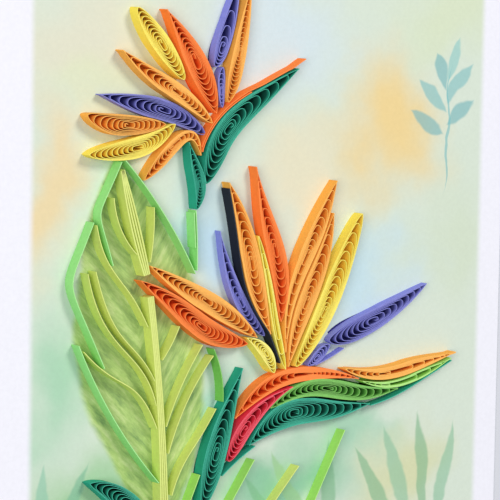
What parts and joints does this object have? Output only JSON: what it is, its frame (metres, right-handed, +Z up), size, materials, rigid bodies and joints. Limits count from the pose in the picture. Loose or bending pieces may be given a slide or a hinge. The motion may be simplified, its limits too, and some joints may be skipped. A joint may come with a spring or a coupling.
{
  "type": "quilled paper art",
  "caption": "Quilled bird of paradise flowers and a leaf: pinched coils and strips of coloured paper standing on edge on a square card.",
  "frame": {"origin": "centre of the card's underside", "axes": "+Z up, out of the card's printed face; +Y towards the top of the picture; +X towards its right side"},
  "size_m": [0.1524, 0.1524, 0.0037],
  "materials": {
    "card": "matte",
    "yellow_paper": "matte",
    "orange_paper": "matte",
    "red_orange_paper": "matte",
    "purple_paper": "matte",
    "teal_paper": "matte",
    "lime_paper": "matte",
    "bright_green_paper": "matte",
    "mid_green_paper": "matte",
    "light_green_paper": "matte",
    "yellow_green_paper": "matte",
    "pink_paper": "matte",
    "black_paper": "matte"
  },
  "bodies": {
    "root": {"backing_card": "card", "upper_yellow_petal": "yellow_paper", "left_yellow_petal": "yellow_paper", "lower_yellow_petal": "yellow_paper", "upper_orange_petal": "orange_paper", "upper_right_petal": "orange_paper", "left_orange_petal": "orange_paper", "left_hook_petal": "orange_paper", "lower_orange_petal": "orange_paper", "lower_orange_pair_left": "orange_paper", "lower_orange_pair_right": "orange_paper", "lower_left_orange_petal": "orange_paper", "bract_orange_coil": "orange_paper", "upper_red_petal": "red_orange_paper", "lower_red_petal": "red_orange_paper", "lower_left_red_petal": "red_orange_paper", "bract_red_coil": "red_orange_paper", "bract_edge_strip": "red_orange_paper", "upper_purple_petal": "purple_paper", "upper_purple_bud": "purple_paper", "left_purple_petal": "purple_paper", "right_purple_petal": "purple_paper", "right_purple_bud": "purple_paper", "lower_purple_petal": "purple_paper", "purple_tail": "purple_paper", "upper_bract": "teal_paper", "upper_stem_head": "teal_paper", "bract_teal_coil": "teal_paper", "lower_stem": "teal_paper", "bottom_teal_coil": "teal_paper", "bract_tail_left": "teal_paper", "bract_tail_right": "teal_paper", "lower_lime_petal": "lime_paper", "lime_bud": "lime_paper", "bract_bright_green_coil": "bright_green_paper", "grass_strip_1": "bright_green_paper", "grass_strip_2": "bright_green_paper", "grass_strip_4": "bright_green_paper", "bract_green_coil": "mid_green_paper", "leaf_edge_low_right": "mid_green_paper", "leaf_edge_top_left": "light_green_paper", "leaf_edge_left": "light_green_paper", "leaf_edge_lower_left": "light_green_paper", "leaf_edge_right": "light_green_paper", "upper_stem": "light_green_paper", "left_vein_1": "yellow_green_paper", "left_vein_2": "yellow_green_paper", "left_vein_3": "yellow_green_paper", "left_vein_4": "yellow_green_paper", "left_vein_5": "yellow_green_paper", "right_vein_1": "yellow_green_paper", "right_vein_2": "yellow_green_paper", "right_vein_3": "yellow_green_paper", "right_vein_4": "yellow_green_paper", "upper_midrib": "yellow_green_paper", "lower_midrib": "yellow_green_paper", "leaf_edge_bottom_right": "yellow_green_paper", "grass_strip_3": "yellow_green_paper", "bract_pink_coil": "pink_paper", "dark_edge_strip": "black_paper"}
  },
  "joints": []
}
